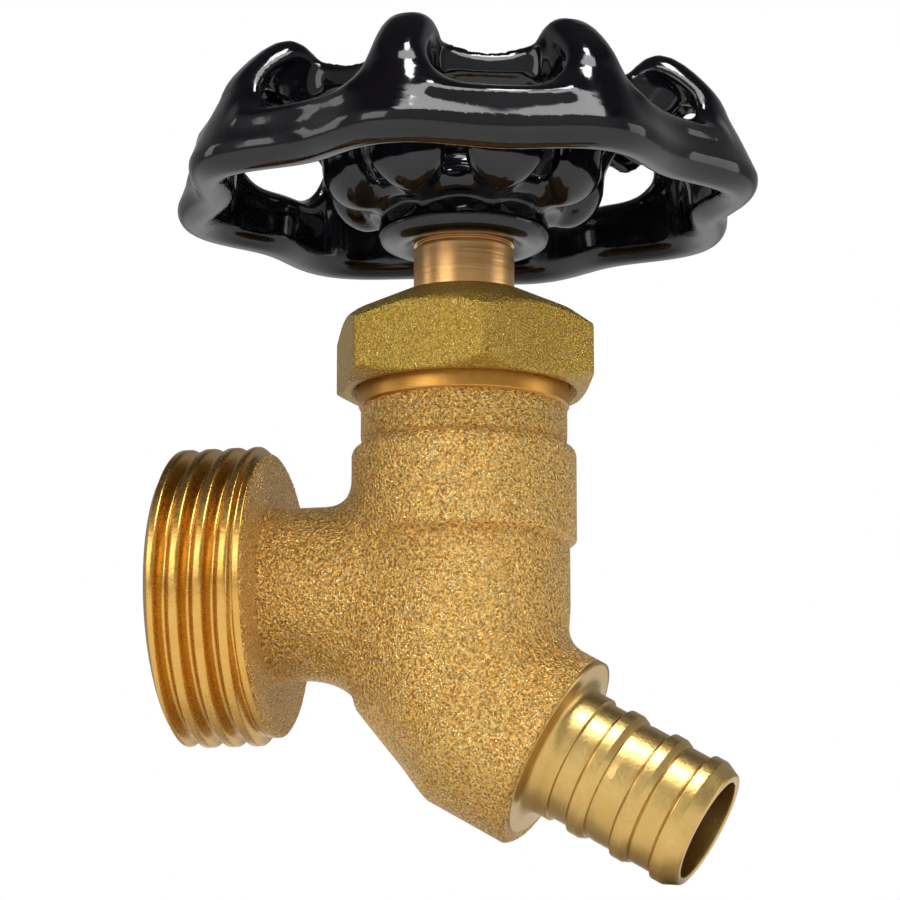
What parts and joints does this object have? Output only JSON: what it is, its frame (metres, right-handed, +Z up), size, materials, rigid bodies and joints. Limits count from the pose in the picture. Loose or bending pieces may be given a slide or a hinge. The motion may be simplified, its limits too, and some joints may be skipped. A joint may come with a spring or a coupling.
{
  "type": "boiler drain valve",
  "caption": "Angle-pattern brass drain valve with a hose-thread outlet, a barbed inlet, a hexagonal packing nut and a lobed black handwheel that lifts the seat washer.",
  "frame": {"origin": "centre of the barb's end face, on the barb's axis", "axes": "+Z up along the stem, away from the body; -X along the hose outlet, pointing out of it; the barb points to +X and down"},
  "size_m": [0.054, 0.054, 0.0749],
  "materials": {
    "cast_brass": "sand-cast, fine bright grain; hose thread and barb turned bright",
    "nut_brass": "fine grain, slightly green",
    "turned_brass": "turned",
    "stem_bronze": "turned, reddish",
    "packing": "matt",
    "seat_rubber": "matt",
    "black_enamel": "thick gloss enamel",
    "plated_steel": "zinc plated"
  },
  "bodies": {
    "valve": {"valve_body": "cast_brass", "packing_nut": "nut_brass", "gland_washer": "turned_brass", "packing_ring": "packing"},
    "washer": {"seat_washer": "seat_rubber"},
    "spindle": {"stem": "stem_bronze", "washer_screw": "turned_brass", "handwheel": "black_enamel", "handwheel_lock_washer": "plated_steel", "handwheel_screw": "plated_steel"}
  },
  "joints": [
    {"name": "stem_lift", "type": "slide", "parent": "valve", "child": "washer", "axis": [0, 0, 1], "range_m": [0, 0.00635]},
    {"name": "stem_turn", "type": "hinge", "parent": "washer", "child": "spindle", "pos_m": [-0.0218, 0, 0.02226], "axis": [0, 0, 1], "range_deg": [0, 720.1]}
  ],
  "couplings": [
    {"joint": "stem_turn", "follows": "stem_lift", "rad_per_m": 1979}
  ]
}
